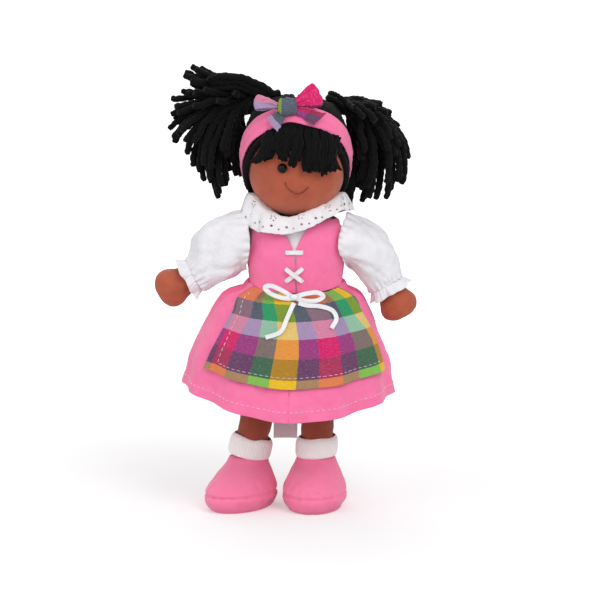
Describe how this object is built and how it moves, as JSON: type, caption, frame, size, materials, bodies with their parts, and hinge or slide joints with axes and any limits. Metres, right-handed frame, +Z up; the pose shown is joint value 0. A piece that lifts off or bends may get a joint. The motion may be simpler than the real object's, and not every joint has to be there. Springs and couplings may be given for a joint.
{
  "type": "rag doll",
  "caption": "Soft stuffed rag doll that stands, with yarn hair in two bunches, a laced pinafore dress, a checked apron, and a jointed neck, shoulders and hips.",
  "frame": {"origin": "on the ground, in the middle of the doll's bounding box", "axes": "+Z up, -Y the way the doll faces, +X the doll's own left"},
  "size_m": [0.1754, 0.1129, 0.2935],
  "materials": {
    "skin_cloth": "plain-woven brown cotton, matt",
    "white_cotton": "white cotton lawn, matt",
    "eyelet_lace": "white cotton lawn with punched eyelets",
    "pink_cotton": "plain-woven pink cotton, matt",
    "white_ribbon": "narrow satin ribbon, soft sheen",
    "check_cotton": "woven madras check in many colours",
    "label_tape": "blank woven tape",
    "red_thread": "embroidery thread",
    "black_yarn": "thick twisted cotton yarn, near black",
    "black_bead": "polished",
    "cuff_elastic": "narrow gathered elastic",
    "sock_jersey": "soft white knit",
    "pink_felt": "pink cotton over stuffing, matt"
  },
  "bodies": {
    "torso": {"apron": "check_cotton", "blouse_body": "white_cotton", "bodice_back": "pink_cotton", "bodice_front_left": "pink_cotton", "bodice_front_right": "pink_cotton", "care_label": "label_tape", "collar_frill": "eyelet_lace", "lace_bar": "white_ribbon", "lace_cross_falling": "white_ribbon", "lace_cross_rising": "white_ribbon", "skirt": "pink_cotton", "torso": "skin_cloth", "waist_bow_knot": "white_ribbon", "waist_bow_loop_left": "white_ribbon", "waist_bow_loop_right": "white_ribbon", "waist_bow_tail_left": "white_ribbon", "waist_bow_tail_right": "white_ribbon"},
    "neck": {"neck": "skin_cloth"},
    "head": {"head": "skin_cloth", "smile_stitch": "red_thread", "hair_cap": "black_yarn", "fringe": "black_yarn", "headband": "pink_cotton", "headband_bow_knot": "check_cotton", "headband_bow_loop_left": "check_cotton", "headband_bow_loop_right": "check_cotton", "headband_bow_end_left": "check_cotton", "headband_bow_end_right": "check_cotton", "eye_left": "black_bead", "eye_right": "black_bead"},
    "bunch_left": {"yarn_bunch_left": "black_yarn", "bunch_tie_left": "black_yarn"},
    "arm_left": {"arm_left": "skin_cloth", "sleeve_left": "white_cotton", "cuff_elastic_left": "cuff_elastic", "cuff_frill_left": "white_cotton"},
    "leg_left": {"leg_left": "skin_cloth", "sock_cuff_left": "sock_jersey", "shoe_left": "pink_felt", "sole_left": "pink_felt"},
    "bunch_right": {"yarn_bunch_right": "black_yarn", "bunch_tie_right": "black_yarn"},
    "arm_right": {"arm_right": "skin_cloth", "sleeve_right": "white_cotton", "cuff_elastic_right": "cuff_elastic", "cuff_frill_right": "white_cotton"},
    "leg_right": {"leg_right": "skin_cloth", "sock_cuff_right": "sock_jersey", "shoe_right": "pink_felt", "sole_right": "pink_felt"}
  },
  "joints": [
    {"name": "neck_nod", "type": "hinge", "parent": "torso", "child": "neck", "pos_m": [0.0066, 0.0009, 0.194], "axis": [1, 0, 0], "range_deg": [-10, 15], "deforming": ["collar_frill"]},
    {"name": "head_turn", "type": "hinge", "parent": "neck", "child": "head", "pos_m": [0.0066, 0.0009, 0.194], "axis": [0, 0, 1], "range_deg": [-40, 40], "deforming": ["collar_frill"]},
    {"name": "bunch_left_lift", "type": "hinge", "parent": "head", "child": "bunch_left", "pos_m": [0.0352, 0.0164, 0.2675], "axis": [0, -1, 0], "range_deg": [0, 25]},
    {"name": "bunch_right_lift", "type": "hinge", "parent": "head", "child": "bunch_right", "pos_m": [-0.022, 0.0164, 0.2675], "axis": [0, 1, 0], "range_deg": [0, 25]},
    {"name": "shoulder_left", "type": "hinge", "parent": "torso", "child": "arm_left", "pos_m": [0.0373, 0.0009, 0.1795], "axis": [-1, 0, 0], "range_deg": [-40, 70]},
    {"name": "shoulder_right", "type": "hinge", "parent": "torso", "child": "arm_right", "pos_m": [-0.0241, 0.0009, 0.1795], "axis": [-1, 0, 0], "range_deg": [-40, 70]},
    {"name": "hip_left", "type": "hinge", "parent": "torso", "child": "leg_left", "pos_m": [0.0066, 0.0009, 0.108], "axis": [-1, 0, 0], "range_deg": [-20, 80], "deforming": ["skirt", "apron", "care_label", "waist_bow_tail_left", "waist_bow_tail_right"]},
    {"name": "hip_right", "type": "hinge", "parent": "torso", "child": "leg_right", "pos_m": [0.0066, 0.0009, 0.108], "axis": [-1, 0, 0], "range_deg": [-20, 80], "deforming": ["skirt", "apron", "care_label", "waist_bow_tail_left", "waist_bow_tail_right"]}
  ]
}
